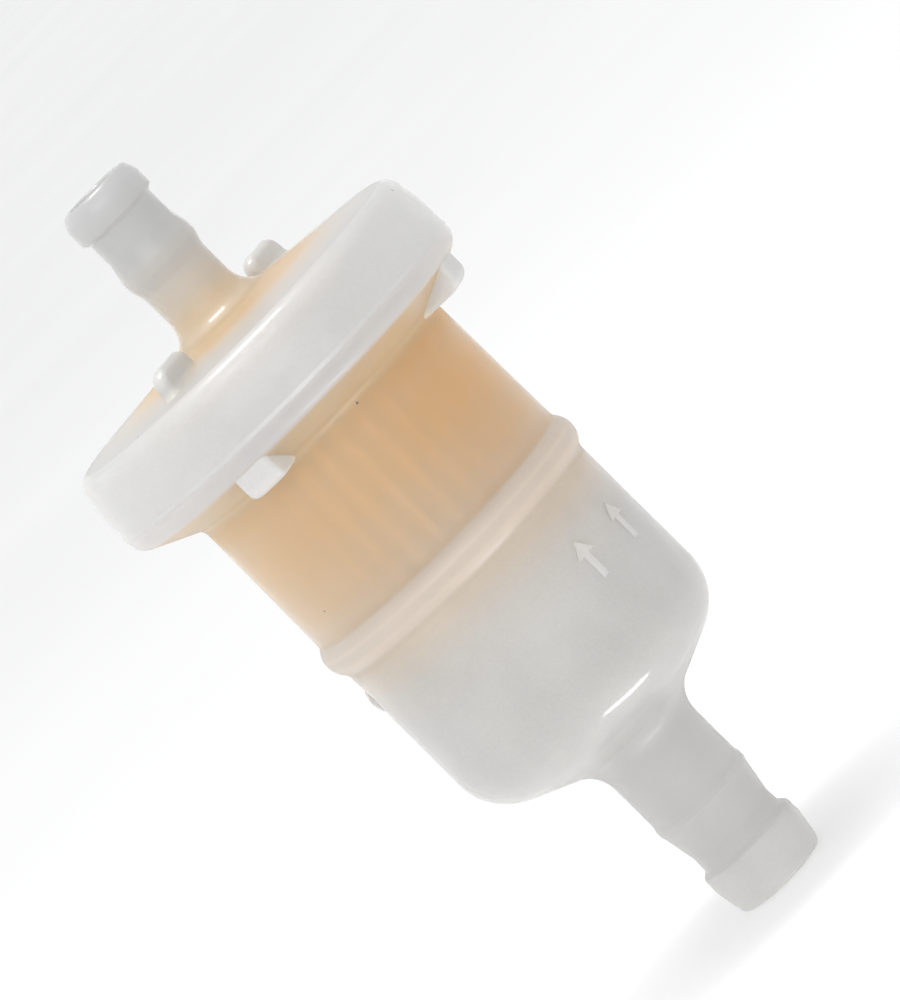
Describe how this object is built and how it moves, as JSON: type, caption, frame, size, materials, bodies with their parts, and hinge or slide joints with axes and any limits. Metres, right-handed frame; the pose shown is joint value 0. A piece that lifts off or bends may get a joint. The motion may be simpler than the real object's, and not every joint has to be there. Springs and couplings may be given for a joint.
{
  "type": "inline fuel filter",
  "caption": "Inline fuel filter: translucent nylon bowl and welded disc-shaped cap, each with a barbed hose nozzle, round a pleated paper cartridge.",
  "frame": {"origin": "on the shared axis of the bowl, cap and nozzles, at the middle of the overall length", "axes": "+Z along the axis towards the tip of the outlet nozzle on the cap; -Y faces the picture's camera; +X completes the right-handed set"},
  "size_m": [0.0428, 0.0428, 0.0934],
  "materials": {
    "cap_nylon": "satin, translucent, natural white",
    "bowl_nylon": "satin, translucent, natural white",
    "filter_paper": "matt, resin-treated",
    "end_disc_plastic": "matt",
    "tube_plastic": "satin",
    "clip_steel": "folded strip",
    "seal_rubber": "matt"
  },
  "bodies": {
    "root": {"cap": "cap_nylon", "bowl": "bowl_nylon", "pleated_paper": "filter_paper", "upper_end_disc": "end_disc_plastic", "lower_end_disc": "end_disc_plastic", "centre_tube": "tube_plastic", "seam_clip": "clip_steel", "neck_seal_ring": "seal_rubber"}
  },
  "joints": []
}
